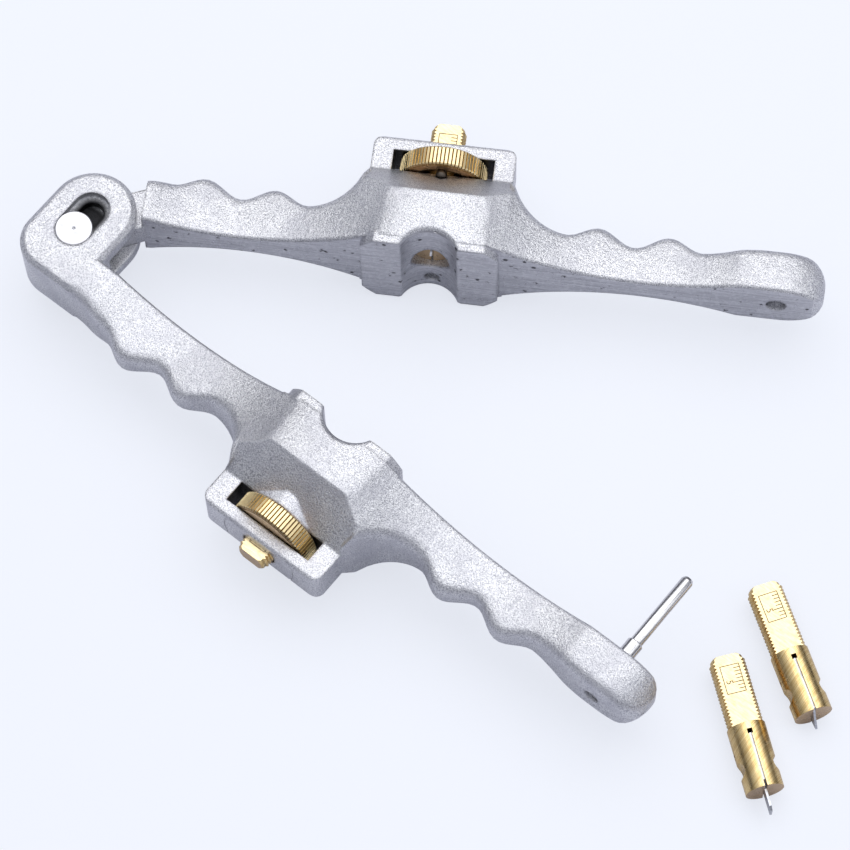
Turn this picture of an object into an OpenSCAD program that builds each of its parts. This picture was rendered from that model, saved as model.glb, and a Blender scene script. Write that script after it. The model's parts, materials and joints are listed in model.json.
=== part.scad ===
// Cable slitter: two cast arms on a sliding hinge, each with a screw-fed blade carrier.
// Each arm is drawn in its own frame: X runs from the hinge to the tip, Y points outwards
// from the clamping plane and Z is up from the arm's middle plane.

/* [Arms] */
// Distance from the hinge pin to the tip of an arm
arm_reach = 208.8; // [204:0.2:216]
// Half the height of a handle at its thinnest place
waist_half = 4.5; // [4.2:0.1:5.5]
// Radius of the sweep from the hinge-side waist up to the block, seen from the side
hinge_sweep_r = 70; // [68:1:76]
// Radius of the sweep from the tip-side waist up to the block, seen from the side
tip_sweep_r = 78; // [76:1:90]
// Half the height of an arm at its tip
tip_half = 9.6; // [8.5:0.1:11]
// How far the handles are set back from the clamping plane
handle_setback = 2.4; // [1.5:0.1:3.5]
// Radius along the outer edges of the handles
edge_r = 3.2; // [2:0.1:3.8]
// Chamfer along the inner edges of the handles
inner_chamfer = 0.7; // [0.3:0.1:1.2]

/* [Finger grips] */
// Distance from one finger bump to the next
grip_pitch = 19.5; // [18:0.25:20.5]
// Half the depth of the finger hollows
grip_depth = 2.1; // [1:0.1:2.6]
// Distance from the hinge pin to the first bump on the hinge side
hinge_bump_x = 34; // [32:0.5:36]
// Distance from the hinge pin to the first bump on the tip side
tip_bump_x = 145; // [143:0.5:147]
// Middle line of the first hinge-side bump, from the clamping plane
hinge_grip_y = 17.9; // [17:0.1:19]
// Middle line of the first tip-side bump, from the clamping plane
tip_grip_y = 16.4; // [15.5:0.1:18]
// Outer edge of the straight stretch near the tip, from the clamping plane
tip_edge_y = 15.5; // [15:0.1:17]

/* [Blade block] */
// Distance from the hinge pin to the middle of the block
block_x = 99; // [97:0.25:101]
// Width of the block along the arm
block_w = 40.4; // [39:0.2:42]
// Width of the clamping pads along the arm
pad_w = 38.4; // [36:0.2:38.8]
// Depth of the block from the clamping plane to its outer face
block_depth = 38.4; // [37.6:0.1:41]
// Half the height of the block at the clamping plane
pad_half = 16.9; // [15.5:0.1:18]
// Half the height of the block at its ridge
ridge_half = 18.4; // [17:0.1:20]
// Distance of the ridge from the clamping plane
ridge_y = 16.7; // [14:0.1:18]
// Length of the ridge
ridge_w = 27; // [24:0.5:30]
// Half the height of the flat shelf around the thumbwheel
shelf_half = 6.4; // [6:0.1:7.5]
// Radius of the block's outer corners
corner_r = 3.2; // [1:0.1:5]
// Radius of the half-round cable groove
groove_r = 8.9; // [8.5:0.1:10]
// Depth of the cable groove below the clamping plane
groove_depth = 4.9; // [4:0.1:5.4]
// Diameter of the circle scribed around the carrier's outer hole
scribe_d = 24.4; // [22:0.1:26]

/* [Thumbwheel] */
// Diameter of the thumbwheel
wheel_d = 24.8; // [24:0.1:26]
// Width of the thumbwheel
wheel_w = 5.9; // [5:0.1:6]
// Number of ridges of the straight knurl
knurl_count = 72; // [48:1:90]
// Depth of the knurl
knurl_depth = 0.45; // [0.2:0.05:0.6]
// Width of the pocket that holds the wheel, along the arm
pocket_w = 28.7; // [27.5:0.1:30]
// Length of the wheel pocket and the wall behind it, from the back of the block
pocket_l = 10.5; // [10.2:0.1:11]

/* [Blade carrier] */
// Diameter of the carrier's plain barrel
barrel_d = 10.6; // [10:0.1:10.8]
// Length of the plain barrel
barrel_l = 18.5; // [17:0.1:19]
// Outer diameter of the carrier's thread
thread_d = 10; // [9.6:0.1:10]
// Pitch of the carrier's thread
thread_pitch = 1; // [0.75:0.25:1.5]
// Length of the threaded part
thread_l = 20.3; // [19.5:0.1:22]
// Distance between the two milled flats on the thread
flat_d = 5.6; // [5:0.1:6.2]
// Width of the slot that holds the blade
slot_w = 0.7; // [0.6:0.05:1]
// Width of the blade inside the carrier
blade_w = 8.8; // [7:0.1:9.4]
// Length of the blade that stands out of the carrier
blade_out = 3; // [2.4:0.1:4.1]
// Diameter of the pin through the blade
blade_pin_d = 1.6; // [1.2:0.1:2]
// Retraction of the eye arm's carrier, from fully in
eye_setting = 4.4; // [0.5:0.1:6]
// Retraction of the fork arm's carrier, from fully in
fork_setting = 0.5; // [0.5:0.1:6]

/* [Click ball] */
// Diameter of the steel ball that bears on the thumbwheel
ball_d = 3.2; // [3:0.1:3.6]
// Distance of the ball from the carrier's axis
ball_z = 7.6; // [7.5:0.1:8]

/* [Hinge] */
// Diameter of the hinge pin's shank
hinge_pin_d = 6.6; // [5.5:0.1:7]
// Diameter of the hinge pin's head
hinge_head_d = 10.6; // [9.5:0.1:11.4]
// Travel of the hinge pin in the fork's slot
hinge_travel = 7.3; // [6:0.1:7.5]
// Half the height of the fork
fork_half = 9.5; // [9:0.1:10.5]
// Radius of the fork's round end
fork_r = 12.3; // [12:0.1:13]
// Half the height of the eye between the fork's ears
eye_half = 4.4; // [3.8:0.1:4.8]
// Radius of the eye around the hinge pin
eye_r = 9.2; // [8:0.1:9.4]
// Distance of the pin from the fork arm's clamping plane
fork_inset = 0.5; // [0.3:0.1:1]
// Distance of the pin from the eye arm's clamping plane
eye_inset = 2.8; // [2.4:0.1:3.2]
// Opening angle of the arms at rest
opening = 31.4; // [10:0.1:40]

/* [Guide pin] */
// Distance of the guide pin from the end of the tip
guide_inset = 13.8; // [12.8:0.1:15.8]
// Diameter of the guide pin's shaft
guide_d = 3.6; // [3:0.1:3.8]
// Diameter of the guide pin's collar
collar_d = 4.7; // [4.2:0.1:4.8]
// Reach of the guide pin beyond the clamping plane
guide_reach = 27.3; // [20:0.1:28]
// Reach of the collar beyond the clamping plane
collar_reach = 4; // [2:0.1:4.5]

/* [Fits] */
// Radial running clearance of shafts and pins
running_gap = 0.06; // [0.03:0.01:0.1]
// Radial clearance of the carrier in its bore
carrier_gap = 0.1; // [0.06:0.01:0.15]
// Radial play left by glued and pressed pins
seat_gap = 0.02; // [0.01:0.01:0.05]
// Clearance of the eye between the ears, on each side
eye_gap = 0.2; // [0.1:0.05:0.4]

/* [Spare carriers] */
// Place of the first spare carrier, along the fork arm from the hinge pin
spare_x = 229.5; // [229.5:0.5:250]
// Place of the first spare carrier, sideways from the fork arm
spare_y = 8; // [8:1:40]
// Distance between the two spare carriers
spare_pitch = 24; // [20:1:36]

/* [Hidden] */
$fn = 96;
eps = 0.01;

// Handle outline and heights
tip_r = 6;
tip_fall_r = 14.5;
tip_fall_x = arm_reach - 12.3;
hinge_waist_x = (hinge_bump_x + block_x - block_w / 2) / 2 - 11.4;
tip_waist_x = tip_bump_x + 12;
hinge_taper = 0.045;
tip_taper = 0.015;
shoulder_x = 18;
fork_edge_y = 14.95;
pocket_y = block_depth - pocket_l;
slope = (ridge_half - shelf_half) / (pocket_y - ridge_y);
block_x0 = block_x - block_w / 2;
block_x1 = block_x + block_w / 2;
flank_w = (block_w - ridge_w) / 2 + 0.8;
pad_round_r = norm([pad_w / 2, pad_half - 4.6]);
loft_step = 1.65;

// Thumbwheel pocket and carrier
wheel_y = pocket_y + 0.3;
pocket_d = wheel_w + 0.6;
bore_r = barrel_d / 2 + carrier_gap;
wheel_bore_r = thread_d / 2 + carrier_gap;
carrier_l = barrel_l + thread_l;
carrier_in = groove_depth - 2.3;
setting_max = 6.7;
hump_w = 23;
hump_top = 11.2;
mark_depth = 0.3;
mark_w = 0.4;
blade_t = slot_w - 0.1;
blade_in = 15.5;
strip_out = blade_out + 3;
notch_r = 2.6;
blade_pin_w = 11;

// Click ball and its spring
ball_y = pocket_y - 0.5;
ball_r = ball_d / 2;
ball_hole_r = ball_r + carrier_gap;
spring_wire = 0.5;
spring_r = ball_r - 0.65;
spring_len = 8.4;
spring_turns = 6;
spring_y1 = ball_y - sqrt(ball_r * ball_r - spring_r * spring_r) - 0.35;
small_hole_r = 2.2;
small_hole_z = 11.7;

// Hinge
head_t = 2.4;
ledge_z = fork_half - head_t;
washer_t = 0.8;
clip_t = 0.7;
clip_groove = 0.7;
slot_r = hinge_pin_d / 2 + running_gap;
head_slot_r = hinge_head_d / 2 + running_gap;
cheek_half = eye_half + eye_gap;
throat_r = eye_r + 0.6;

// Guide pin
guide_hole_r = guide_d / 2 + 1.1;
guide_x = arm_reach - guide_inset;
guide_hole_x = guide_x + 0.75;
guide_seat = 11;

// ---------------------------------------------------------------- handle shape

// Height of the arm's top edge over the waist on the tip side or on the hinge side
function waist(x, tip_side) = let (r = tip_side ? tip_sweep_r : hinge_sweep_r,
        d = x - (tip_side ? tip_waist_x : hinge_waist_x))
    waist_half + r - sqrt(r * r - d * d);

// Amount by which a quarter circle of radius r, ending at x1, has fallen at x
function round_off(x, x1, r) = x <= x1 - r ? 0 : r - sqrt(max(0, r * r - pow(x - x1 + r, 2)));

function fall(x, x0, r) = x <= x0 ? 0 : r - sqrt(r * r - pow(x - x0, 2));

function side_half(x, tip_side) = min(waist(x, tip_side),
        tip_side ? (x > tip_waist_x ? tip_half : 99) : (x < hinge_waist_x ? fork_half - 0.02 : 99))
    - (tip_side ? fall(x, tip_fall_x, tip_fall_r) : 0);

// Wave of the finger hollows: a run of bumps that starts and ends in a hollow
function wave(x, x_bump, y_mid, taper) =
    y_mid - taper * (x - x_bump) + grip_depth * cos(360 * (x - x_bump) / grip_pitch);

// Concave flare from the last hollow (at xv, yv) up to the block's side at xs
function flare(x, xv, yv, xs) = let (r = abs(xs - xv) + 0.25)
    yv + r - sqrt(max(0, r * r - pow(x - xv, 2)));

function outer_y(x, tip_side) = tip_side ? tip_outer_y(x) : hinge_outer_y(x);

function hinge_outer_y(x) = let (x0 = hinge_bump_x - grip_pitch / 2, x1 = x0 + 2 * grip_pitch)
    x < x0 ? let (y0 = wave(x0, hinge_bump_x, hinge_grip_y, hinge_taper))
        y0 + (fork_edge_y - y0) * (1 + cos(180 * min(1, max(0, (x - fork_r) / (x0 - fork_r))))) / 2
    : x < x1 ? wave(x, hinge_bump_x, hinge_grip_y, hinge_taper)
    : flare(min(x, block_x0), x1, wave(x1, hinge_bump_x, hinge_grip_y, hinge_taper), block_x0);

function tip_outer_y(x) = let (x0 = tip_bump_x - grip_pitch / 2, x1 = x0 + 2 * grip_pitch,
        y1 = wave(x1, tip_bump_x, tip_grip_y, tip_taper), rise = 18)
    x < x0 ? flare(max(x, block_x1), x0, wave(x0, tip_bump_x, tip_grip_y, tip_taper), block_x1)
    : x < x1 ? wave(x, tip_bump_x, tip_grip_y, tip_taper)
    : y1 + (tip_edge_y - y1) * (1 - cos(180 * min(1, (x - x1) / rise))) / 2
        - round_off(x, arm_reach, tip_r);

function inner_y(x) = handle_setback + round_off(x, arm_reach, 4);

// Height of the block's crown at a distance y from the clamping plane
function crown(y) = y < ridge_y ? 99 : max(shelf_half, ridge_half - slope * (y - ridge_y));

// One closed section of a handle, as a ring of points
function section(x, tip_side) = let (
        h = side_half(x, tip_side), yi = inner_y(x), yo = outer_y(x, tip_side),
        ye = yo - edge_r, ze = min(h, crown(ye)), c = inner_chamfer,
        yc = min(ridge_y + (ridge_half - h) / slope, ye - 0.5),
        top = [[yi, h - c], [yi + c, h], [yc, h],
            for (k = [0 : 4]) [ye + edge_r * sin(22.5 * k), ze - edge_r + edge_r * cos(22.5 * k)]])
    concat([for (p = top) [x, p[0], p[1]]],
        [for (i = [len(top) - 1 : -1 : 0]) [x, top[i][0], -top[i][1]]]);

// Skins a run of sections into one closed solid
module skin(stations, tip_side) {
    rings = [for (x = stations) section(x, tip_side)];
    n = len(rings[0]);
    m = len(rings);
    polyhedron(
        points = [for (r = rings) each r],
        faces = concat(
            [[for (i = [0 : n - 1]) n - 1 - i]],
            [for (j = [0 : m - 2], i = [0 : n - 1])
                [j * n + i, j * n + (i + 1) % n, (j + 1) * n + (i + 1) % n, (j + 1) * n + i]],
            [[for (i = [0 : n - 1]) (m - 1) * n + i]]),
        convexity = 6);
}

function run(x0, x1) = let (n = ceil((x1 - x0) / loft_step)) [for (i = [0 : n]) x0 + (x1 - x0) * i / n];

module hinge_handle(x0) {
    skin(run(x0, block_x0 + 0.6), false);
}

module tip_handle() {
    x_round = arm_reach - tip_r;
    skin(concat(run(block_x1 - 0.6, x_round),
        [for (a = [15 : 15 : 75]) x_round + tip_r * sin(a)], [arm_reach - 0.08]), true);
}

// ---------------------------------------------------------------- blade block

// A solid that is round about the carrier's axis; z of the child becomes Y of the arm
module on_carrier_axis(y = 0) {
    translate([block_x, y, 0])
        rotate([-90, 0, 0])
            children();
}

module block_plan() {
    translate([block_x0, handle_setback])
        square([block_w, block_depth - corner_r - handle_setback]);
    translate([block_x0 + corner_r, handle_setback])
        square([block_w - 2 * corner_r, block_depth - handle_setback]);
    for (s = [-1, 1])
        translate([block_x + s * (block_w / 2 - corner_r), block_depth - corner_r])
            circle(r = corner_r);
}

module crown_profile() {
    half = [[0, pad_half], [ridge_y, ridge_half], [pocket_y, shelf_half],
        [block_depth - 0.8, shelf_half], [block_depth, shelf_half - 0.8]];
    polygon(concat(half, [for (i = [len(half) - 1 : -1 : 0]) [half[i][0], -half[i][1]]]));
}

// Outline of the block seen from the clamping side: both sweeps run on up to the crown
module front_profile() {
    top = ridge_half + 0.4;
    steps = 5;
    rise = [for (i = [0 : steps])
        let (x = block_x0 + i / steps * flank_w)
        [x - block_x, min(top, waist(x, false) + 0.03)]];
    drop = [for (i = [0 : steps])
        let (x = block_x1 - (1 - i / steps) * flank_w)
        [x - block_x, min(top, waist(x, true) + 0.03)]];
    half = concat(rise, [[-ridge_w / 2 + 2.5, top], [ridge_w / 2 - 2.5, top]], drop);
    polygon(concat(half, [for (i = [len(half) - 1 : -1 : 0]) [half[i][0], -half[i][1]]]));
}

// The two clamping pads, rounded at their four corners
module pads() {
    translate([block_x, handle_setback + 1, 0])
        rotate([90, 0, 0])
            linear_extrude(handle_setback + 1)
                intersection() {
                    square([pad_w, 2 * pad_half], center = true);
                    circle(r = pad_round_r);
                }
}

module block_body() {
    intersection() {
        translate([0, 0, -ridge_half])
            linear_extrude(2 * ridge_half)
                block_plan();
        translate([block_x0, 0, 0])
            rotate([90, 0, 90])
                linear_extrude(block_w)
                    crown_profile();
        translate([block_x, block_depth, 0])
            rotate([90, 0, 0])
                linear_extrude(block_depth)
                    front_profile();
    }
    pads();
}

// Roof-shaped hump over the carrier's bore, on the side of the arm given by s
module bore_hump(s) {
    mirror([0, 0, s > 0 ? 0 : 1])
        translate([block_x, pocket_y, 0])
            rotate([90, 0, 0])
                linear_extrude(pocket_y - ridge_y)
                    intersection() {
                        polygon([[-hump_w / 2, 4], [-hump_w / 2, 5.6], [-1.2, hump_top], [1.2, hump_top],
                            [hump_w / 2, 5.6], [hump_w / 2, 4]]);
                        circle(r = hump_top - 0.1);
                    }
}

// All that is machined into a block; s is the side of the arm that has the click ball
module block_cuts(s) {
    // cable groove with its broken edges
    translate([block_x, groove_depth - groove_r, 0]) {
        cylinder(h = 3 * ridge_half, r = groove_r, center = true);
        for (m = [0, 1])
            mirror([0, 0, m])
                translate([0, 0, pad_half - 0.7])
                    cylinder(h = 2, r1 = groove_r, r2 = groove_r + 2);
    }
    // carrier bore, from the groove to the wheel pocket
    on_carrier_axis(-1)
        cylinder(h = pocket_y + 2, r = bore_r);
    // wheel pocket, right through
    translate([block_x - pocket_w / 2, pocket_y, -ridge_half - 1])
        cube([pocket_w, pocket_d, 2 * ridge_half + 2]);
    // flat-sided hole that keeps the carrier from turning
    on_carrier_axis(pocket_y)
        intersection() {
            cylinder(h = block_depth, r = thread_d / 2 + 0.5);
            translate([-10, -flat_d / 2 - 0.15, 0])
                cube([20, flat_d + 0.3, block_depth]);
        }
    // scribed circle
    on_carrier_axis(block_depth - mark_depth)
        difference() {
            cylinder(h = 1, r = scribe_d / 2);
            translate([0, 0, -1])
                cylinder(h = 3, r = scribe_d / 2 - mark_w);
        }
    // hole of the click ball and its spring
    translate([block_x, spring_y1 - spring_len, s * ball_z])
        rotate([-90, 0, 0])
            cylinder(h = pocket_y - spring_y1 + spring_len + 1, r = ball_hole_r);
    // blind hole below the blade
    translate([block_x, -1, -s * small_hole_z])
        rotate([-90, 0, 0])
            cylinder(h = groove_depth + 5, r = small_hole_r);
}

// ---------------------------------------------------------------- arms

// The part's origin is the axis of the fork arm's cable groove, at half height
module from_hinge() {
    translate([-block_x, groove_depth - groove_r, 0])
        children();
}

// Places the fork arm's frame in the part's frame
module on_fork() {
    from_hinge()
        mirror([0, 1, 0])
            children();
}

// Places the eye arm's frame in the part's frame
module on_eye() {
    from_hinge()
      translate([0, fork_inset, 0])
        rotate([0, 0, opening])
            translate([0, eye_inset, 0])
                children();
}

module fork_end() {
    r2 = 10;
    edge = 1.5;
    hull()
        for (level = [0, 1]) {
            h = 2 * (fork_half - (level == 0 ? edge : 0));
            d = level == 0 ? 0 : edge;
            translate([0.3, -fork_inset - hinge_travel, 0])
                cylinder(h = h, r = fork_r - d, center = true, $fn = 48);
            translate([r2 - fork_r + 0.3, 15 - r2, 0])
                cylinder(h = h, r = r2 - d, center = true, $fn = 48);
            translate([fork_r + 0.3 - 2, 12.9, 0])
                cylinder(h = h, r = 2 - d, center = true, $fn = 24);
        }
}

// Slot of radius r along the pin's travel, drawn flat
module travel_slot(r) {
    for (t = [0, hinge_travel])
        translate([0, -fork_inset - t])
            circle(r = r);
    translate([-r, -fork_inset - hinge_travel])
        square([2 * r, hinge_travel]);
}

module fork_cuts() {
    // throat between the ears, open towards the other arm
    translate([0, 0, -cheek_half])
        linear_extrude(2 * cheek_half) {
            travel_slot(throat_r);
            translate([-throat_r, -40])
                square([throat_r + 40, 40 - fork_inset]);
        }
    // pin slot, with a wider slot for the head above and for the washer below
    translate([0, 0, -2 * fork_half])
        linear_extrude(4 * fork_half)
            travel_slot(slot_r);
    for (m = [0, 1])
        mirror([0, 0, m])
            translate([0, 0, ledge_z])
                linear_extrude(fork_half)
                    travel_slot(head_slot_r);
}

module fork_arm() {
    color("silver")
        on_fork()
            difference() {
                union() {
                    fork_end();
                    hinge_handle(6);
                    block_body();
                    bore_hump(1);
                    tip_handle();
                }
                fork_cuts();
                block_cuts(-1);
                translate([guide_x, -1, 0])
                    rotate([-90, 0, 0])
                        cylinder(h = 20, r = collar_d / 2 + seat_gap);
            }
}

module eye_end() {
    translate([0, 0, -eye_half])
        linear_extrude(2 * eye_half) {
            translate([0, -eye_inset])
                circle(r = eye_r);
            polygon([[-3.9, eye_r - eye_inset - 0.9], [shoulder_x + 1, 14.8], [shoulder_x + 1, 2.6],
                [eye_r - 0.4, -eye_inset + 0.8], [0, -eye_inset]]);
        }
}

module eye_arm() {
    color("silver")
        on_eye()
            difference() {
                union() {
                    eye_end();
                    hinge_handle(shoulder_x);
                    block_body();
                    bore_hump(-1);
                    tip_handle();
                }
                translate([0, -eye_inset, 0])
                    cylinder(h = 4 * eye_half, r = slot_r, center = true);
                block_cuts(1);
                translate([guide_hole_x, -1, 0])
                    rotate([-90, 0, 0])
                        cylinder(h = 20, r = guide_hole_r);
            }
}

// ---------------------------------------------------------------- hinge

module on_hinge_axis() {
    from_hinge()
        translate([0, fork_inset, 0])
            children();
}

module hinge_pin() {
    end_z = -fork_half + 0.3;
    groove_z = -ledge_z - washer_t - 0.1;
    color("gainsboro")
        on_hinge_axis()
            rotate_extrude()
                polygon([[0, end_z], [hinge_pin_d / 2 - 0.3, end_z], [hinge_pin_d / 2, end_z + 0.3],
                    [hinge_pin_d / 2, groove_z - clip_t], [hinge_pin_d / 2 - clip_groove, groove_z - clip_t],
                    [hinge_pin_d / 2 - clip_groove, groove_z], [hinge_pin_d / 2, groove_z],
                    [hinge_pin_d / 2, ledge_z + 0.05], [hinge_head_d / 2, ledge_z + 0.05],
                    [hinge_head_d / 2, fork_half - 0.3], [hinge_head_d / 2 - 0.25, fork_half - 0.05],
                    [0.5, fork_half - 0.05], [0, fork_half - 0.4]]);
}

module hinge_washer() {
    color("silver")
        on_hinge_axis()
            translate([0, 0, -ledge_z - washer_t - 0.05])
                difference() {
                    cylinder(h = washer_t, r = hinge_head_d / 2 - 0.1);
                    translate([0, 0, -1])
                        cylinder(h = 3, r = slot_r);
                }
}

module hinge_clip() {
    z1 = -ledge_z - washer_t - 0.1;
    color("dimgray")
        on_hinge_axis()
            translate([0, 0, z1 - clip_t + 0.03])
                difference() {
                    cylinder(h = clip_t - 0.06, r = hinge_pin_d / 2 + 1.1);
                    translate([0, 0, -1])
                        cylinder(h = 3, r = hinge_pin_d / 2 - clip_groove + seat_gap);
                    translate([0, -2, -1])
                        cube([10, 4, 3]);
                }
}

module guide_pin() {
    color("gainsboro")
        on_fork()
            translate([guide_x, 0, 0])
                rotate([-90, 0, 0])
                    rotate_extrude()
                        polygon([[0, -guide_reach], [guide_d / 2 - 0.5, -guide_reach],
                            [guide_d / 2, -guide_reach + 0.9], [guide_d / 2, -collar_reach],
                            [collar_d / 2 - 0.3, -collar_reach], [collar_d / 2, -collar_reach + 0.3],
                            [collar_d / 2, guide_seat], [0, guide_seat]]);
}

// ---------------------------------------------------------------- thumbwheel

module knurled_band(w) {
    n = knurl_count;
    linear_extrude(w)
        polygon([for (i = [0 : 2 * n - 1])
            let (r = wheel_d / 2 - (i % 2 == 0 ? 0 : knurl_depth), a = 180 * i / n)
            [r * cos(a), r * sin(a)]]);
}

module wheel() {
    shoulder = 0.45;
    rim = wheel_d / 2 - knurl_depth - 0.15;
    color("goldenrod")
        on_carrier_axis(wheel_y)
            difference() {
                union() {
                    translate([0, 0, shoulder])
                        knurled_band(wheel_w - 2 * shoulder);
                    rotate_extrude()
                        polygon([[0, 0], [rim - 0.3, 0], [rim, 0.3], [rim, wheel_w - 0.3],
                            [rim - 0.3, wheel_w], [0, wheel_w]]);
                }
                translate([0, 0, -1])
                    cylinder(h = wheel_w + 2, r = wheel_bore_r);
                // race of the click ball
                translate([0, 0, ball_y - wheel_y])
                    rotate_extrude()
                        translate([ball_z, 0])
                            circle(r = ball_hole_r);
            }
}

// ---------------------------------------------------------------- blade carrier

// Carrier along Z from the cable end; the milled flats face +Y and -Y
module carrier_body() {
    crest = thread_d / 2;
    root = crest - 0.55 * thread_pitch;
    turns = floor((thread_l - 1.2) / thread_pitch);
    color("goldenrod")
        difference() {
            union() {
                cylinder(h = barrel_l, r = barrel_d / 2);
                intersection() {
                    translate([0, 0, barrel_l - eps])
                        rotate_extrude()
                            polygon(concat([[0, 0], [root, 0]],
                                [for (i = [0 : turns - 1], k = [0 : 1])
                                    [k == 0 ? crest : root, (i + 0.5 + 0.5 * k) * thread_pitch]],
                                [[root, thread_l - 0.6], [root - 0.6, thread_l], [0, thread_l]]));
                    translate([-barrel_d, -flat_d / 2, 0])
                        cube([2 * barrel_d, flat_d, carrier_l + 1]);
                }
            }
            // blade slot
            translate([-slot_w / 2, -barrel_d, -1])
                cube([slot_w, 2 * barrel_d, blade_in + 1.5]);
            translate([-slot_w, -barrel_d, blade_in - 0.4])
                cube([2 * slot_w, 2 * barrel_d, 2 * slot_w]);
            // finger notches on both sides
            for (s = [-1, 1])
                translate([s * (barrel_d / 2 + 1.3), 0, 6.6])
                    rotate([90, 0, 0])
                        cylinder(h = 2 * barrel_d, r = notch_r, center = true);
            // seat of the pin through the blade
            translate([0, 0, blade_pin_w])
                rotate([0, 90, 0])
                    cylinder(h = 2 * barrel_d, r = blade_pin_d / 2 + seat_gap, center = true);
        }
}

// Blade in the plane of the slot; form 0 ends in a point, form 1 in a straight strip
module blade_body(form) {
    w = blade_w / 2;
    color("lightslategray")
        translate([-blade_t / 2, 0, 0])
            rotate([0, 0, 90])
                rotate([90, 0, 0])
                    linear_extrude(blade_t)
                        difference() {
                            polygon(form == 0
                                ? [[-w, blade_in], [-w, 0], [-w + 1.2, -blade_out], [0.4, -1], [w, 0.6],
                                    [w, blade_in]]
                                : [[-w, blade_in], [-w, 2], [-2.2, 0], [-2.2, -strip_out],
                                    [1.2, -strip_out], [2.2, -strip_out + 1.2], [2.2, 0], [w, 2],
                                    [w, blade_in]]);
                            translate([0, blade_pin_w])
                                circle(r = blade_pin_d / 2 + seat_gap, $fn = 32);
                        }
}

module blade_pin_body() {
    color("gray")
        translate([0, 0, blade_pin_w])
            rotate([0, 90, 0])
                cylinder(h = barrel_d - 1.2, r = blade_pin_d / 2, center = true);
}

// Puts a carrier's parts into an arm's frame at a given setting
module in_block(setting) {
    on_carrier_axis(carrier_in + setting)
        children();
}

module click_ball(s) {
    color("gainsboro")
        translate([block_x, ball_y, s * ball_z])
            sphere(r = ball_r);
}

// Coil spring along Z, from z = 0 to z = len
module coil(r, wire_r, len, turns) {
    steps = 12 * turns;
    sides = 6;
    rise = len - 2 * wire_r;
    points = [for (i = [0 : steps], k = [0 : sides - 1])
        let (a = 30 * i, b = 360 * k / sides, q = r + wire_r * cos(b))
        [q * cos(a), q * sin(a), wire_r + rise * i / steps + wire_r * sin(b)]];
    polyhedron(
        points = points,
        faces = concat(
            [[for (k = [0 : sides - 1]) k]],
            [for (i = [0 : steps - 1], k = [0 : sides - 1])
                [i * sides + k, (i + 1) * sides + k, (i + 1) * sides + (k + 1) % sides,
                    i * sides + (k + 1) % sides]],
            [[for (k = [0 : sides - 1]) steps * sides + sides - 1 - k]]),
        convexity = 10);
}

module click_spring(s) {
    color("gray")
        translate([block_x, spring_y1 - spring_len, s * ball_z])
            rotate([-90, 0, 0])
                coil(spring_r, spring_wire / 2, spring_len, spring_turns);
}

// ---------------------------------------------------------------- spare carriers

// Lays a spare carrier on the bench beside the tips, i = 0 or 1
module on_bench(i) {
    from_hinge()
        translate([spare_x - spare_pitch * 0.15 * i, spare_y + spare_pitch * i, barrel_d / 2 - ridge_half])
            rotate([0, 0, -127 + 4.5 * i])
                translate([0, carrier_l / 2, 0])
                    rotate([90, 0, 0])
                        children();
}

// ---------------------------------------------------------------- named pieces

module fork_wheel() { on_fork() wheel(); }
module fork_carrier() { on_fork() in_block(fork_setting) carrier_body(); }
module fork_blade() { on_fork() in_block(fork_setting) blade_body(0); }
module fork_blade_pin() { on_fork() in_block(fork_setting) blade_pin_body(); }
module fork_ball() { on_fork() click_ball(-1); }
module fork_spring() { on_fork() click_spring(-1); }

module eye_wheel() { on_eye() wheel(); }
module eye_carrier() { on_eye() in_block(eye_setting) carrier_body(); }
module eye_blade() { on_eye() in_block(eye_setting) blade_body(0); }
module eye_blade_pin() { on_eye() in_block(eye_setting) blade_pin_body(); }
module eye_ball() { on_eye() click_ball(1); }
module eye_spring() { on_eye() click_spring(1); }

module strip_carrier() { on_bench(0) carrier_body(); }
module strip_blade() { on_bench(0) blade_body(1); }
module strip_blade_pin() { on_bench(0) blade_pin_body(); }
module point_carrier() { on_bench(1) carrier_body(); }
module point_blade() { on_bench(1) blade_body(0); }
module point_blade_pin() { on_bench(1) blade_pin_body(); }

fork_arm();
eye_arm();
hinge_pin();
hinge_washer();
hinge_clip();
guide_pin();
fork_wheel();
fork_carrier();
fork_blade();
fork_blade_pin();
fork_ball();
fork_spring();
eye_wheel();
eye_carrier();
eye_blade();
eye_blade_pin();
eye_ball();
eye_spring();
strip_carrier();
strip_blade();
strip_blade_pin();
point_carrier();
point_blade();
point_blade_pin();
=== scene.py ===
import json
import math

import bmesh
import bpy
from mathutils import Matrix, Vector


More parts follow.
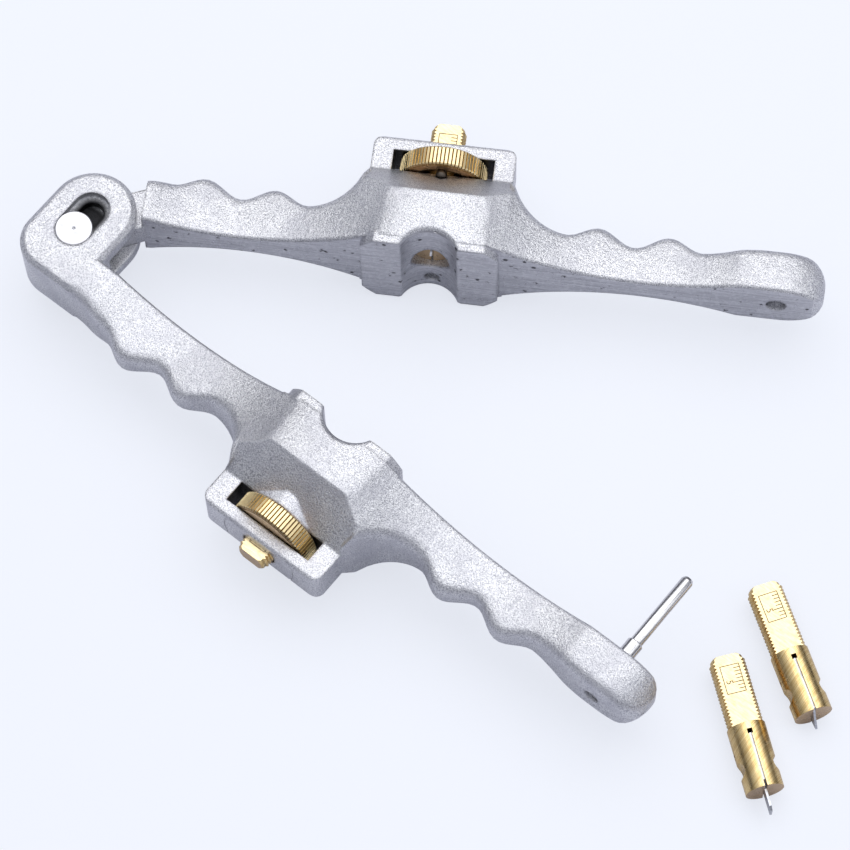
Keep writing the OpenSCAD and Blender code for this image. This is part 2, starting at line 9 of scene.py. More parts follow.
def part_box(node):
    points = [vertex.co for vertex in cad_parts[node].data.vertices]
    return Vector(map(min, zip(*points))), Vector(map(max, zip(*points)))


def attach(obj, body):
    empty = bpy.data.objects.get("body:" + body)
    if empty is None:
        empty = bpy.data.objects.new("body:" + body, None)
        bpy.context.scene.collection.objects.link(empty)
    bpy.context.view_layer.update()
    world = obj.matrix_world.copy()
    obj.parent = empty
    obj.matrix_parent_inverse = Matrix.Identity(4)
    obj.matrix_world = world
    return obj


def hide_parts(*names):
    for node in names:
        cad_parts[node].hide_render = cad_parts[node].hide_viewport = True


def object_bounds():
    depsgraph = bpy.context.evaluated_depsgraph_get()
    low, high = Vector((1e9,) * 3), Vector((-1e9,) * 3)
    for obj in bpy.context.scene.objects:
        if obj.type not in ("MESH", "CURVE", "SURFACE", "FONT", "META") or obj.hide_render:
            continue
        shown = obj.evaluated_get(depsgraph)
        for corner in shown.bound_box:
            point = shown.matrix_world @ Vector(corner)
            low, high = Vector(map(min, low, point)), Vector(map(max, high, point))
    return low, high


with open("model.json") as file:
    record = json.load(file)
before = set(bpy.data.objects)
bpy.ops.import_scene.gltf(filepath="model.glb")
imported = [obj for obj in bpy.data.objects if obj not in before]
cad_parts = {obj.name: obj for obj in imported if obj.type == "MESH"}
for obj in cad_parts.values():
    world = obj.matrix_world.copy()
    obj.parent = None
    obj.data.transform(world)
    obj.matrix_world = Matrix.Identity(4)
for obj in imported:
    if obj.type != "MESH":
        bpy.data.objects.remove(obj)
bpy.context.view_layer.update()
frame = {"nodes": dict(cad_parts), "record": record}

# ---------------------------------------------------------------- camera
# The tool lies on its side on a bench and is seen from above, with the hinge on the left
# and both arms spread to the right. A long lens keeps the arms nearly parallel in size.
joints = {joint["name"]: joint for joint in frame["record"]["behaviour"]["joints"]}
hinge_axis = Vector(joints["arm_swing"]["pos_m"])
bench_turn = math.radians(40.795)
camera_pitch = math.radians(66.446)
camera_roll = math.radians(-1.965)
camera_distance = 1.0559
bench_right = Vector((math.cos(bench_turn), math.sin(bench_turn), 0))
bench_back = Vector((-math.sin(bench_turn), math.cos(bench_turn), 0))
aim = hinge_axis + 0.095629 * bench_right - 0.059217 * bench_back
camera_way = math.sin(camera_pitch) * Vector((0, 0, 1)) - math.cos(camera_pitch) * bench_back
eye_point = aim + camera_distance * camera_way
camera_data = bpy.data.cameras.new("bench_camera")
camera_data.sensor_width = 36
camera_data.lens = 163.3
camera_data.clip_start = 0.02
camera_data.clip_end = 20
camera = bpy.data.objects.new("bench_camera", camera_data)
bpy.context.scene.collection.objects.link(camera)
camera.matrix_world = (
    Matrix.Translation(eye_point)
    @ (aim - eye_point).to_track_quat("-Z", "Y").to_matrix().to_4x4()
    @ Matrix.Rotation(camera_roll, 4, "Z")
)
bpy.context.scene.camera = camera
bpy.context.scene.view_settings.view_transform = "Standard"


# ---------------------------------------------------------------- bench and light
# A pale sheet of card under the tool, a wide lamp behind and above it, a weak lamp at its side
# and a room that is dark near the bench. The card is matt and takes the tool's soft shadow.
class Tap:
    """One output of a finish's nodes, which can be used in sums and products."""

    def __init__(self, finish, socket):
        self.finish = finish
        self.socket = socket

    def maths(self, operation, first, second):
        return self.finish.node("ShaderNodeMath", {"operation": operation}, {0: first, 1: second})

    def __add__(self, other):
        return self.maths("ADD", self, other)

    def __mul__(self, other):
        return self.maths("MULTIPLY", self, other)

    def __sub__(self, other):
        return self.maths("SUBTRACT", self, other)

    def __rsub__(self, other):
        return self.maths("SUBTRACT", other, self)

    __radd__ = __add__
    __rmul__ = __mul__


class Finish:
    """The surface of one kind of piece: a material or the room, with its nodes."""

    def __init__(self, name, owner=None):
        self.owner = owner or bpy.data.materials.new(name)
        self.owner.use_nodes = True
        self.tree = self.owner.node_tree
        self.tree.nodes.clear()

    def node(self, kind, settings=None, inputs=None, out=0):
        made = self.tree.nodes.new(kind)
        for key, value in (settings or {}).items():
            setattr(made, key, value)
        for key, value in (inputs or {}).items():
            if isinstance(value, Tap):
                self.tree.links.new(value.socket, made.inputs[key])
            else:
                made.inputs[key].default_value = value
        return Tap(self, made.outputs[out])

    def blend(self, share, low, high):
        """Colour that goes from low to high as share goes from 0 to 1."""
        low, high = (c if isinstance(c, Tap) else (*c, 1) for c in (low, high))
        return self.node("ShaderNodeMix", {"data_type": "RGBA"}, {0: share, 6: low, 7: high}, 2)

    def step(self, value, low, high):
        """0 at low, 1 at high, smooth between; low may lie above high."""
        return self.node(
            "ShaderNodeMapRange",
            {"interpolation_type": "SMOOTHSTEP"},
            {"Value": value, "From Min": low, "From Max": high},
        )

    def grain(self, place, scale, detail=2.0, rough=0.5):
        return self.node(
            "ShaderNodeTexNoise",
            {},
            {"Vector": place, "Scale": scale, "Detail": detail, "Roughness": rough},
        )

    def dot(self, place, way):
        return self.node("ShaderNodeVectorMath", {"operation": "DOT_PRODUCT"}, {0: place, 1: way}, "Value")

    def length(self, place):
        return self.node("ShaderNodeVectorMath", {"operation": "LENGTH"}, {0: place}, "Value")

    def size(self, value):
        return self.node("ShaderNodeMath", {"operation": "ABSOLUTE"}, {0: value})

    def root(self, value):
        return self.node("ShaderNodeMath", {"operation": "SQRT"}, {0: value})

    def faces(self):
        return self.node("ShaderNodeNewGeometry", {}, {}, "True Normal")

    def millimetres(self, stretch=(1000, 1000, 1000), turn=0.0, centre=(0, 0, 0)):
        """Place on the piece from a centre, turned about Z and stretched from metres."""
        place = self.node("ShaderNodeTexCoord", {}, {}, "Object")
        moved = self.node("ShaderNodeVectorMath", {"operation": "SUBTRACT"}, {0: place, 1: centre})
        return self.node("ShaderNodeMapping", {}, {"Vector": moved, "Rotation": (0, 0, turn), "Scale": stretch})

    def relief(self, height, strength, depth, edge_r=0.0, samples=4):
        """Small bumps, over edges that are rounded by edge_r."""
        inputs = {"Height": height, "Strength": strength, "Distance": depth}
        if edge_r:
            inputs["Normal"] = self.node("ShaderNodeBevel", {"samples": samples}, {"Radius": edge_r})
        return self.node("ShaderNodeBump", {}, inputs)

    def metal(self, colour, roughness, relief=None, metallic=1.0):
        inputs = {"Base Color": colour, "Roughness": roughness, "Metallic": metallic}
        if relief:
            inputs["Normal"] = relief
        return self.close(self.node("ShaderNodeBsdfPrincipled", {}, inputs))

    def close(self, surface, target="ShaderNodeOutputMaterial"):
        end = self.tree.nodes.new(target)
        self.tree.links.new(surface.socket, end.inputs["Surface"])
        return self.owner


card_half = 4.0
bench_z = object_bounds()[0][2]
corners = [(x * card_half, y * card_half, bench_z) for x, y in ((-1, -1), (1, -1), (1, 1), (-1, 1))]
card_mesh = bpy.data.meshes.new("card")
card_mesh.from_pydata(corners, [], [(0, 1, 2, 3)])
card = bpy.data.objects.new("card", card_mesh)
bpy.context.scene.collection.objects.link(card)
paper = Finish("paper")
seen = paper.node("ShaderNodeLightPath", {}, {}, "Is Camera Ray")
card_colour = paper.blend(seen, (0.66, 0.67, 0.73), (0.86, 0.88, 0.96))
matt = paper.node("ShaderNodeBsdfDiffuse", {}, {"Color": card_colour})
glow = paper.node("ShaderNodeEmission", {}, {"Color": (0.90, 0.93, 1.0, 1), "Strength": 1.03})
card_surface = paper.node("ShaderNodeMixShader", {}, {0: seen * 0.72, 1: matt, 2: glow})
card_mesh.materials.append(paper.close(card_surface))

room = bpy.data.worlds.new("room")
bpy.context.scene.world = room
air = Finish("room", room)
look = air.node("ShaderNodeTexCoord", {}, {}, "Generated")
height = air.node("ShaderNodeSeparateXYZ", {}, {0: look}, 2)
wall = air.blend(air.step(height, 0.15, 0.82), (0.035, 0.035, 0.05), (0.84, 0.87, 0.95))
direct = air.node("ShaderNodeLightPath", {}, {}, "Is Camera Ray")
sky = air.blend(direct, wall, (0.93, 0.95, 1.0))
air.close(air.node("ShaderNodeBackground", {}, {"Color": sky, "Strength": 0.9}), "ShaderNodeOutputWorld")


def lamp(name, place, size, power, colour):
    data = bpy.data.lights.new(name, "AREA")
    data.shape = "RECTANGLE"
    data.size, data.size_y = size
    data.energy = power
    data.color = colour
    holder = bpy.data.objects.new(name, data)
    bpy.context.scene.collection.objects.link(holder)
    to_tool = (aim - place).to_track_quat("-Z", "Y").to_matrix().to_4x4()
    holder.matrix_world = Matrix.Translation(place) @ to_tool


back_place = aim + Vector((0, 0, 1.25)) + 0.55 * bench_back + 0.15 * bench_right
side_place = aim + Vector((0, 0, 0.6)) + 1.1 * bench_right - 0.2 * bench_back
lamp("back_lamp", back_place, (1.9, 1.4), 10.4, (1.0, 0.99, 0.98))
lamp("side_lamp", side_place, (0.5, 0.9), 1.3, (0.95, 0.97, 1.0))

# ---------------------------------------------------------------- arms
# Two aluminium castings from one mould, blasted all over to a bright, fine grain.
# The clamping side and the cable groove are milled smooth afterwards.
nodes = frame["nodes"]
mounts = {mount["name"]: Vector(mount["pos_m"]) for mount in frame["record"]["mounts"]}
up = Vector((0, 0, 1))


def place_piece(name, mesh):
    piece = bpy.data.objects.new(name, mesh)
    bpy.context.scene.collection.objects.link(piece)
    return piece


def solid_piece(name, shape, material):
    """Makes one piece of one material out of a finished bmesh."""
    mesh = bpy.data.meshes.new(name)
    shape.to_mesh(mesh)
    shape.free()
    mesh.materials.clear()
    mesh.materials.append(material)
    for polygon in mesh.polygons:
        polygon.material_index = 0
    return place_piece(name, mesh)


def merged_copy(node, name, crease, material):
    """The same solid with its triangles joined, so that its rounded parts shade smoothly."""
    work = bmesh.new()
    work.from_mesh(nodes[node].data)
    bmesh.ops.remove_doubles(work, verts=work.verts, dist=2e-6)
    bmesh.ops.dissolve_degenerate(work, edges=work.edges, dist=1e-6)
    for face in work.faces:
        face.smooth = True
    for edge in work.edges:
        edge.smooth = len(edge.link_faces) == 2 and edge.calc_face_angle(0) < math.radians(crease)
    return solid_piece(name, work, material)


def cast_aluminium(name, inward, groove_axis, slot_run, shade_offset_r):
    """Blasted and milled casting; all sizes on it are in millimetres."""
    turn = -math.atan2(inward[1], inward[0]) + math.pi / 2
    coat = Finish(name)
    place = coat.millimetres()
    from_groove = coat.millimetres(centre=groove_axis)
    flat_side = coat.step(coat.dot(coat.faces(), inward), 0.95, 0.99)
    groove_r = coat.length(coat.millimetres((1000, 1000, 0), 0.0, groove_axis))
    groove_reach = 9.1
    groove_wall = coat.step(groove_r, groove_reach + 0.2, groove_reach)
    milled = coat.node("ShaderNodeMath", {"operation": "MAXIMUM"}, {0: flat_side, 1: groove_wall})
    # the wheel's pocket is painted near black inside, as painted shade
    pocket_half, pocket_start, pocket_end, shelf_top = 14.5, 31.8, 38.6, 6.38
    out = coat.dot(from_groove, -inward)
    along = coat.size(coat.dot(from_groove, inward.cross(up)))
    above = coat.size(coat.dot(from_groove, up))
    painted_pocket_shade = coat.step(along, pocket_half + 0.1, pocket_half) * coat.step(above, shelf_top, 5.4)
    painted_pocket_shade = painted_pocket_shade * coat.step(out, pocket_start - 0.1, pocket_start + 0.1)
    painted_pocket_shade = painted_pocket_shade * coat.step(out, pocket_end + 0.1, pocket_end - 0.1)
    # the pin's slot and the eye under it are painted dark as painted shade: grey at the edge, black in the
    # middle
    from_pin = coat.millimetres(centre=hinge_axis)
    pin_x, pin_y, pin_z = (coat.node("ShaderNodeSeparateXYZ", {}, {0: from_pin}, axis) for axis in range(3))
    past_slot = pin_y - coat.node("ShaderNodeClamp", {}, {"Value": pin_y, "Min": 0.0, "Max": slot_run})
    off_slot = coat.root(pin_x * pin_x + past_slot * past_slot) - shade_offset_r
    slot_r, shade_start, shade_deep, slot_z = 5.5, 6.4, 3.3, 8.9
    painted_slot_shade = coat.step(off_slot, slot_r + 0.4, slot_r) * coat.step(off_slot, shade_start, shade_deep)
    painted_slot_shade = painted_slot_shade * coat.step(coat.size(pin_z), slot_z + 0.4, slot_z)
    # blasted skin: bright and dark grains over a slow mottle
    fine = coat.grain(place, 3.0, 3.0, 0.62)
    coarse = coat.grain(place, 0.85, 2.0, 0.5)
    cloud = coat.grain(place, 0.10, 3.0, 0.55)
    skin = coat.blend(coat.step(fine, 0.34, 0.60), (0.42, 0.42, 0.46), (0.97, 0.97, 0.98))
    skin = coat.blend(coat.step(cloud, 0.40, 0.70) * 0.45, skin, (0.56, 0.56, 0.61))
    # milled side: cutter lines along the arm, open pores and a few scuffs
    lines = coat.grain(coat.millimetres((60, 60, 2600), turn), 1.0, 3.0, 0.6)
    pores = coat.node("ShaderNodeTexVoronoi", {}, {"Vector": place, "Scale": 0.30}, "Distance")
    pore = coat.step(pores, 0.24, 0.14) * coat.step(coat.grain(place, 0.5), 0.46, 0.58)
    cut = coat.blend(coat.step(lines, 0.3, 0.7), (0.46, 0.46, 0.49), (0.72, 0.72, 0.75))
    cut = coat.blend(coat.step(coarse, 0.50, 0.68) * 0.4, cut, (0.84, 0.84, 0.86))
    cut = coat.blend(pore, cut, (0.10, 0.10, 0.11))
    # painted shade: the pocket's inside is blended to near black
    colour = coat.blend(painted_pocket_shade, coat.blend(milled, skin, cut), (0.045, 0.042, 0.04))
    # painted shade: the slot and the eye under the pin are blended to near black
    colour = coat.blend(painted_slot_shade, colour, (0.03, 0.03, 0.032))
    roughness = coat.step(coarse, 0.2, 0.8) * 0.10 + 0.30 - milled * 0.04
    blasted = (fine + coarse * 0.8) * (1 - milled)
    raised = blasted + (lines * 0.25 - pore * 1.5 + coarse * 0.2) * milled
    return coat.metal(colour, roughness, coat.relief(raised, 1.0, 0.00021, 0.0011, 6))


fork_inward = Vector((0, 1, 0))
eye_inward = Vector(joints["eye_wheel_turn"]["axis"])
slot_mm = 1000 * joints["pin_slide"]["range_m"][1]
for node, inward, groove, slot_run, shade_offset_r in (
    ("fork_arm", fork_inward, "fork_groove", slot_mm, 0.0),
    ("eye_arm", eye_inward, "eye_groove", 0.0, 6.0),
):
    aluminium = cast_aluminium(node + "_aluminium", inward, mounts[groove], slot_run, shade_offset_r)
    casting = merged_copy(node, node + "_casting", 38, aluminium)
    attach(casting, node)
    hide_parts(node)


# ---------------------------------------------------------------- hinge pin, washer and clip
# A turned and polished steel pin with a flat head that slides in the fork's stepped slot.
# A plated washer and a blackened snap clip hold it from below.
bodies = frame["record"]["behaviour"]["bodies"]


def turned_steel(name, colour, rough, centre, axis):
    coat = Finish(name)
    ring_stretch = [40 if abs(part) < 0.5 else 9000 for part in axis]
    rings = coat.grain(coat.millimetres(ring_stretch, 0.0, centre), 1.0, 3.0, 0.6)
    marks = coat.grain(coat.millimetres(centre=centre), 0.6, 4.0, 0.6)
    tone = coat.blend(coat.step(rings, 0.3, 0.7), colour, tuple(min(1.0, part * 1.14) for part in colour))
    tone = coat.blend(coat.step(marks, 0.45, 0.75) * 0.35, tone, tuple(part * 0.8 for part in colour))
    roughness = coat.step(marks, 0.2, 0.8) * 0.12 + rough
    return coat.metal(tone, roughness, coat.relief(rings, 0.15, 0.00002, 0.00015))


def dress(node, material, crease=30):
    """Covers a node with its merged copy, in the node's own body."""
    piece = merged_copy(node, node + "_finished", crease, material)
    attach(piece, next(body for body, members in bodies.items() if node in members))
    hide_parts(node)


dress("hinge_pin", turned_steel("pin_head_steel", (0.56, 0.56, 0.58), 0.26, hinge_axis, up))
dress("hinge_washer", turned_steel("washer_plate", (0.62, 0.63, 0.66), 0.32, hinge_axis, up))
dress("hinge_clip", turned_steel("clip_black", (0.10, 0.10, 0.11), 0.38, hinge_axis, up))


# ---------------------------------------------------------------- guide pin
# A ground steel pin with a collar, pressed into the fork arm's tip; it enters the hole in
# the other arm's tip as the tool closes.
def middle(node):
    low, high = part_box(node)
    return (Vector(low) + Vector(high)) / 2


dress("guide_pin", turned_steel("guide_steel", (0.74, 0.73, 0.73), 0.16, middle("guide_pin"), fork_inward))


# ---------------------------------------------------------------- thumbwheels
# Brass discs with a straight knurl, turned from bar. Each one runs in its pocket in the block
# and is threaded on the carrier. The face towards the cable has the ball's race and is painted darker as
# painted shade.
class Recipe:
    """A node tree that grows a shape, with named inputs for its sizes and its material."""

    def __init__(self, name, inputs):
        self.tree = bpy.data.node_groups.new(name, "GeometryNodeTree")
        self.tree.interface.new_socket("Shape", in_out="OUTPUT", socket_type="NodeSocketGeometry")
        self.sockets = {}
        for label, kind in inputs + [("Material", "NodeSocketMaterial")]:
            socket = self.tree.interface.new_socket(label, in_out="INPUT", socket_type=kind)
            self.sockets[label] = socket.identifier
        self.given = self.tree.nodes.new("NodeGroupInput").outputs
        self.end = self.tree.nodes.new("NodeGroupOutput")

    def node(self, kind, settings=None, inputs=None):
        made = self.tree.nodes.new(kind)
        for key, value in (settings or {}).items():
            setattr(made, key, value)
        for key, value in (inputs or {}).items():
            if isinstance(value, bpy.types.NodeSocket):
                self.tree.links.new(value, made.inputs[key])
            else:
                made.inputs[key].default_value = value
        return made

    def finish(self, geometry):
        solid = self.node("GeometryNodeRealizeInstances", {}, {"Geometry": geometry}).outputs[0]
        painted = {"Geometry": solid, "Material": self.given["Material"]}
        set_material = self.node("GeometryNodeSetMaterial", {}, painted)
        self.tree.links.new(set_material.outputs[0], self.end.inputs[0])

    def grow(self, name, values):
        """The grown shape as a plain mesh, with nothing left of the modifier."""
        host = place_piece(name + "_host", bpy.data.meshes.new(name + "_host"))
        growth = host.modifiers.new("growth", "NODES")
        growth.node_group = self.tree
        for label, value in values.items():
            growth[self.sockets[label]] = value
        host.update_tag()
        bpy.context.view_layer.update()
        ready = host.evaluated_get(bpy.context.evaluated_depsgraph_get())
        mesh = bpy.data.meshes.new_from_object(ready)
        mesh.name = name
        host.modifiers.remove(growth)
        bpy.data.objects.remove(host)
        return mesh


def wheel_brass(name, centre, axis):
    """Painted highlight on the crests, painted shade in the flutes, and the face on the cable side painted
    browner and darker as painted shade.
    """
    coat = Finish(name)
    place = coat.millimetres(centre=centre)
    along = coat.dot(place, axis)
    whole = coat.length(place)
    radius = coat.root(whole * whole - along * along)
    flute_mm, crest_mm = 11.95, 12.25
    lit_crest = coat.step(radius, flute_mm, crest_mm)
    side = coat.dot(coat.faces(), axis)
    flat_face = coat.step(coat.size(side), 0.8, 0.95)
    turned = coat.node("ShaderNodeCombineXYZ", {}, {0: radius * 5.0, 1: along * 0.2})
    rings = coat.grain(turned, 1.0, 3.0, 0.6)
    stain = coat.grain(place, 0.32, 4.0, 0.6)
    # painted highlight on the crests and painted shade in the flutes
    rim = coat.blend(lit_crest, (0.20, 0.11, 0.03), (0.96, 0.78, 0.44))
    rim = coat.blend(coat.step(stain, 0.50, 0.80) * 0.35, rim, (0.70, 0.42, 0.18))
    face = coat.blend(coat.step(rings, 0.3, 0.7), (0.60, 0.40, 0.20), (0.80, 0.60, 0.34))
    # painted shade: the face on the cable side is blended darker and browner
    face = coat.blend(coat.step(side, 0.5, 0.9) * 0.6, face, (0.50, 0.30, 0.16))
    roughness = coat.step(stain, 0.2, 0.8) * 0.16 + 0.22
    raised = rings * flat_face + coat.grain(place, 3.0) * 0.5
    return coat.metal(coat.blend(flat_face, rim, face), roughness, coat.relief(raised, 0.2, 0.00004))


def lathe(points, sides):
    """Turns a closed outline of (radius, height) points about Z into one closed solid."""
    shape = bmesh.new()
    angles = [2 * math.pi * k / sides for k in range(sides)]
    rings = [[shape.verts.new((r * math.cos(a), r * math.sin(a), z)) for a in angles] for r, z in points]
    for i, ring in enumerate(rings):
        following = rings[(i + 1) % len(rings)]
        for k in range(sides):
            after = (k + 1) % sides
            shape.faces.new((ring[k], ring[after], following[after], following[k]))
    bmesh.ops.recalc_face_normals(shape, faces=shape.faces)
    return shape


wheel_r, flute_r, bore_r, half_w, bevel = 0.0124, 0.01192, 0.0051, 0.00295, 0.0006
bore_bevel, ridge_count, disc_sides = 0.0003, 72, 144
knurl_inputs = [("Ridge", "NodeSocketObject"), ("Count", "NodeSocketInt"), ("Radius", "NodeSocketFloat")]
knurls = Recipe("knurled_rim", knurl_inputs)
ring_sizes = {"Vertices": knurls.given["Count"], "Radius": knurls.given["Radius"]}
circle = knurls.node("GeometryNodeMeshCircle", {"fill_type": "NONE"}, ring_sizes)
ridge_shape = knurls.node("GeometryNodeObjectInfo", {}, {"Object": knurls.given["Ridge"]})
seat = knurls.node("GeometryNodeInputPosition").outputs[0]
outward = knurls.node("FunctionNodeAlignRotationToVector", {"axis": "X"}, {"Vector": seat})
rim_ridges = knurls.node(
    "GeometryNodeInstanceOnPoints",
    {},
    {
        "Points": circle.outputs[0],
        "Instance": ridge_shape.outputs["Geometry"],
        "Rotation": outward.outputs[0],
    },
)
knurls.finish(rim_ridges.outputs[0])

# one ridge of the knurl: a bar with a narrow crest and bevelled ends, rooted in the disc
root_w, crest_w, root_x = 0.00047, 0.00034, -0.0004
end_gap, end_crest, full_crest = 0.0001, 0.00005, wheel_r - flute_r
stations = (
    (-half_w + end_gap, end_crest),
    (-half_w + bevel, full_crest),
    (half_w - bevel, full_crest),
    (half_w - end_gap, end_crest),
)
ridge = bmesh.new()
loops = []
for z, h in stations:
    section = ((root_x, -root_w), (0.0, -root_w), (h, -crest_w), (h, crest_w), (0.0, root_w), (root_x, root_w))
    loops.append([ridge.verts.new((x, y, z)) for x, y in section])
for near, far in zip(loops, loops[1:]):
    for k in range(6):
        after = (k + 1) % 6
        ridge.faces.new((near[k], near[after], far[after], far[k]))
ridge.faces.new(loops[0])
ridge.faces.new(loops[-1])
bmesh.ops.recalc_face_normals(ridge, faces=ridge.faces)
ridge_mesh = bpy.data.meshes.new("knurl_ridge")
ridge.to_mesh(ridge_mesh)
ridge_piece = place_piece("knurl_ridge", ridge_mesh)

# the disc's outline: the face with the ball's race, the flutes' floor and the bore
race_r, race_centre, race_lift, race_half = 0.0017, 0.0076, 0.0008, 61.9
race = []
for degrees in (-race_half, -45, -25, 0, 25, 45, race_half):
    a = math.radians(degrees)
    race.append((race_centre + race_r * math.sin(a), -half_w - race_lift + race_r * math.cos(a)))
outline = [
    (bore_r + bore_bevel, -half_w),
    *race,
    (flute_r - bevel, -half_w),
    (flute_r, -half_w + bevel),
    (flute_r, half_w - bevel),
    (flute_r - bevel, half_w),
    (bore_r + bore_bevel, half_w),
    (bore_r, half_w - bore_bevel),
    (bore_r, -half_w + bore_bevel),
]
for node in ("fork_wheel", "eye_wheel"):
    turn = joints[node + "_turn"]
    centre, axis = Vector(turn["pos_m"]), Vector(turn["axis"])
    brass = wheel_brass(node + "_brass", centre, axis)
    values = {"Ridge": ridge_piece, "Count": ridge_count, "Radius": flute_r, "Material": brass}
    rim = knurls.grow(node + "_rim", values)
    disc = lathe(outline, disc_sides)
    disc.from_mesh(rim)
    across = up.cross(-axis)
    basis = Matrix((across, up, across.cross(up))).transposed().to_4x4()
    disc.transform(Matrix.Translation(centre) @ basis)
    piece = solid_piece(node + "_knurled", disc, brass)
    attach(piece, node)
    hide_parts(node)
bpy.data.objects.remove(ridge_piece)


# ---------------------------------------------------------------- blade carriers
# Brass bar with a threaded and flatted tail, a plain barrel and a saw cut that holds the blade.
# The flats are milled bright; the barrel keeps its turning lines.
def carrier_brass(name, centre, way):
    coat = Finish(name)
    turn = -math.atan2(way[1], way[0])
    rings = coat.grain(coat.millimetres((3600, 30, 30), turn, centre), 1.0, 3.0, 0.6)
    mill = coat.grain(coat.millimetres((300, 1800, 30), turn, centre), 1.0, 3.0, 0.6)
    stain = coat.grain(coat.millimetres(centre=centre), 0.5, 4.0, 0.6)
    flat_top = coat.step(coat.size(coat.dot(coat.faces(), up)), 0.985, 0.998)
    end_face = coat.step(coat.size(coat.dot(coat.faces(), way)), 0.97, 0.995)
    barrel = coat.blend(coat.step(rings, 0.3, 0.7), (0.62, 0.42, 0.16), (0.90, 0.70, 0.36))
    milled = coat.blend(coat.step(mill, 0.3, 0.7), (0.82, 0.64, 0.34), (0.93, 0.78, 0.48))
    colour = coat.blend(end_face, coat.blend(flat_top, barrel, milled), (0.62, 0.44, 0.26))
    colour = coat.blend(coat.step(stain, 0.5, 0.8) * 0.35, colour, (0.55, 0.36, 0.16))
    roughness = coat.step(stain, 0.2, 0.8) * 0.12 + 0.24
    raised = rings * (1 - flat_top) + mill * flat_top
    return coat.metal(colour, roughness, coat.relief(raised, 0.25, 0.00003, 0.0001))


strip_turn, point_turn = math.radians(143.0), math.radians(147.5)
outward_way = {
    "fork": Vector(joints["fork_blade_feed"]["axis"]),
    "eye": Vector(joints["eye_blade_feed"]["axis"]),
    "strip": Vector((math.cos(strip_turn), math.sin(strip_turn), 0)),
    "point": Vector((math.cos(point_turn), math.sin(point_turn), 0)),
}


def reach(node, way):
    """Furthest point of a node along a direction, in metres."""
    return max(way.dot(vertex.co) for vertex in nodes[node].data.vertices)


axis_at = {}
for owner, way in outward_way.items():
    node = owner + "_carrier"
    across = way.cross(up)
    off = (reach(node, across) - reach(node, -across)) / 2
    tail = across * off + way * reach(node, way) + Vector((0, 0, middle(node).z))
    axis_at[owner] = tail
    dress(node, carrier_brass(node + "_brass", tail, way))

# ---------------------------------------------------------------- millimetre scales
# A box and a row of millimetre ticks etched into each carrier's bright flat, with the figure 5
# beside the fifth tick, to set the depth of the cut by.
etch = Finish("etched_scale")
speck = etch.grain(etch.millimetres(), 4.0, 2.0, 0.6)
ink = etch.blend(etch.step(speck, 0.3, 0.7), (0.07, 0.045, 0.02), (0.20, 0.13, 0.05))
etched = etch.metal(ink, speck * 0.2 + 0.45, metallic=0.6)
tick_inputs = [(label, "NodeSocketFloat") for label in ("Spacing", "Length", "Width", "Height")]
ticks = Recipe("millimetre_ticks", [("Count", "NodeSocketInt")] + tick_inputs)
given = ticks.given
pitch = ticks.node("ShaderNodeCombineXYZ", {}, {2: given["Spacing"]})
row = ticks.node("GeometryNodeMeshLine", {}, {"Count": given["Count"], "Offset": pitch.outputs[0]})
stroke_sizes = {0: given["Length"], 1: given["Height"], 2: given["Width"]}
stroke_size = ticks.node("ShaderNodeCombineXYZ", {}, stroke_sizes)
stroke = ticks.node("GeometryNodeMeshCube", {}, {"Size": stroke_size.outputs[0]})
laid = {"Points": row.outputs[0], "Instance": stroke.outputs["Mesh"]}
marks = ticks.node("GeometryNodeInstanceOnPoints", {}, laid)
ticks.finish(marks.outputs[0])

line_w, line_h, box_w, box_l, box_start, flat_h = 0.00022, 0.00003, 0.0052, 0.008, 0.003, 0.0028
tick_gap, short_l, long_l = 0.001, 0.0017, 0.0028
figure_x, figure_z = 0.0012, 0.0048


def strokes(name, count, spacing, length, width):
    values = {"Count": count, "Spacing": spacing, "Length": length, "Width": width}
    values.update({"Height": line_h, "Material": etched})
    return ticks.grow(name, values)


short_ticks = strokes("short_ticks", 7, tick_gap, short_l, line_w)
long_tick = strokes("long_tick", 1, tick_gap, long_l, line_w)
ends = strokes("box_ends", 2, box_l, box_w, line_w)
sides = strokes("box_side", 1, tick_gap, line_w, box_l)

figure = bpy.data.curves.new("figure_five", "FONT")
figure.body = "5"
figure.size = 0.0026
figure.extrude = line_h / 2
figure.align_x = figure.align_y = "CENTER"
figure_piece = place_piece("figure_five", figure)
bpy.context.view_layer.update()
ready = figure_piece.evaluated_get(bpy.context.evaluated_depsgraph_get())
figure_mesh = bpy.data.meshes.new_from_object(ready)
bpy.data.objects.remove(figure_piece)
figure_turn = Matrix.Rotation(math.pi / 2, 4, "Y") @ Matrix.Rotation(-math.pi / 2, 4, "X")


def lay(scale, mesh, x, z, turn=None):
    """Adds a mesh to the scale, turned first and then moved along the flat."""
    piece = bmesh.new()
    piece.from_mesh(mesh)
    if turn:
        piece.transform(turn)
    piece.transform(Matrix.Translation((x, 0, z)))
    copy = bpy.data.meshes.new("stroke")
    piece.to_mesh(copy)
    piece.free()
    scale.from_mesh(copy)


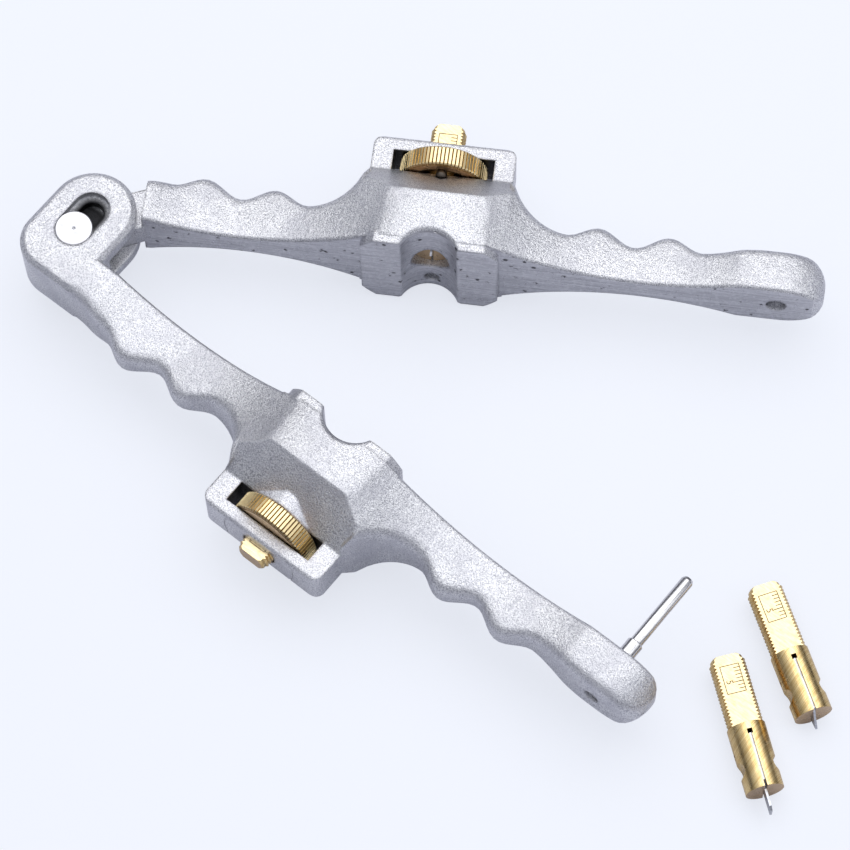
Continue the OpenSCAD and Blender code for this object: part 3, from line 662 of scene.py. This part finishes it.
for owner, way in outward_way.items():
    scale = bmesh.new()
    edge = -box_w / 2
    lay(scale, short_ticks, edge + short_l / 2, -box_start - 7 * tick_gap)
    lay(scale, long_tick, edge + long_l / 2, -box_start - 5 * tick_gap)
    lay(scale, ends, 0, -box_start - box_l)
    lay(scale, sides, edge, -box_start - box_l / 2)
    lay(scale, sides, -edge, -box_start - box_l / 2)
    lay(scale, figure_mesh, figure_x, -box_start - figure_z, figure_turn)
    across = up.cross(way)
    basis = Matrix((across, up, way)).transposed().to_4x4()
    scale.transform(Matrix.Translation(axis_at[owner] + flat_h * up) @ basis)
    bmesh.ops.recalc_face_normals(scale, faces=scale.faces)
    piece = solid_piece(owner + "_scale", scale, etched)
    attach(piece, owner + "_carrier" if owner in ("fork", "eye") else "fork_arm")

# ---------------------------------------------------------------- blades and their pins
# Thin ground steel blades, held in the saw cut by a steel cross pin.
for owner, way in outward_way.items():
    steel = Finish(owner + "_blade_steel")
    turn = -math.atan2(way[1], way[0])
    hone = steel.grain(steel.millimetres((200, 200, 3000), turn), 1.0, 3.0, 0.6)
    spots = steel.grain(steel.millimetres(), 0.8, 3.0, 0.6)
    tone = steel.blend(steel.step(hone, 0.3, 0.7), (0.50, 0.51, 0.54), (0.74, 0.75, 0.78))
    tone = steel.blend(steel.step(spots, 0.5, 0.75) * 0.4, tone, (0.38, 0.38, 0.40))
    dress(owner + "_blade", steel.metal(tone, spots * 0.15 + 0.22, steel.relief(hone, 0.2, 0.00002)))
    pin = owner + "_blade_pin"
    dress(pin, turned_steel(owner + "_cross_pin", (0.45, 0.44, 0.43), 0.3, middle(pin), (1, 0, 0)))

# ---------------------------------------------------------------- click balls and springs
# A polished ball behind each wheel, pressed against it by a small coil spring in a blind hole. The balls are
# painted near black, as painted shade of their holes.
for owner in ("fork", "eye"):
    ball, spring = owner + "_ball", owner + "_spring"
    # painted shade: the ball's steel is near black
    dress(ball, turned_steel(ball + "_steel", (0.10, 0.085, 0.07), 0.30, middle(ball), up), 60)
    dress(spring, turned_steel(owner + "_wire", (0.55, 0.55, 0.57), 0.3, middle(spring), (0, 1, 0)), 60)
